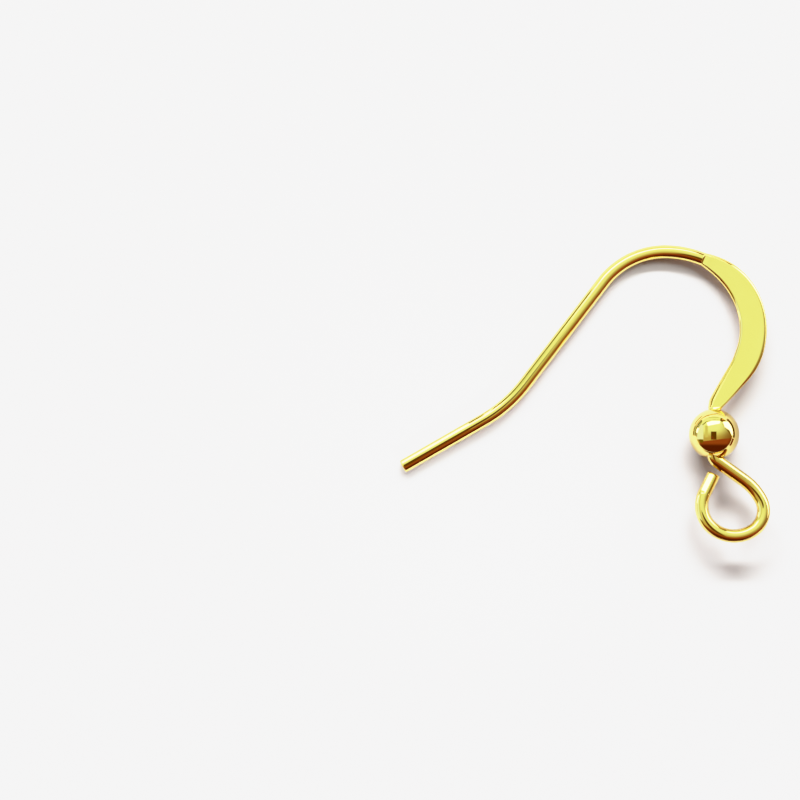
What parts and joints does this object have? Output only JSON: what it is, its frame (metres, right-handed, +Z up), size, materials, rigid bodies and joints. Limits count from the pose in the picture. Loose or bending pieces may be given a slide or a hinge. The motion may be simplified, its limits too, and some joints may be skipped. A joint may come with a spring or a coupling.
{
  "type": "ear wire",
  "caption": "Fish-hook ear wire: a bent round wire with a flattened front, a drilled round bead on its neck and an open eye for a drop.",
  "frame": {"origin": "on the table under the middle of the part's outline", "axes": "+Z up from the table; seen from above the arch points to +Y, the tail runs to -X and the eye hangs to -Y at the +X side"},
  "size_m": [0.0218, 0.0176, 0.003],
  "materials": {
    "gold_wire": "gold-plated brass wire, drawn and polished, with a mirror-flat pressed front",
    "gold_bead": "gold-plated brass, tumbled to a mirror polish"
  },
  "bodies": {
    "root": {"ear_hook": "gold_wire", "ball_bead": "gold_bead"}
  },
  "joints": []
}
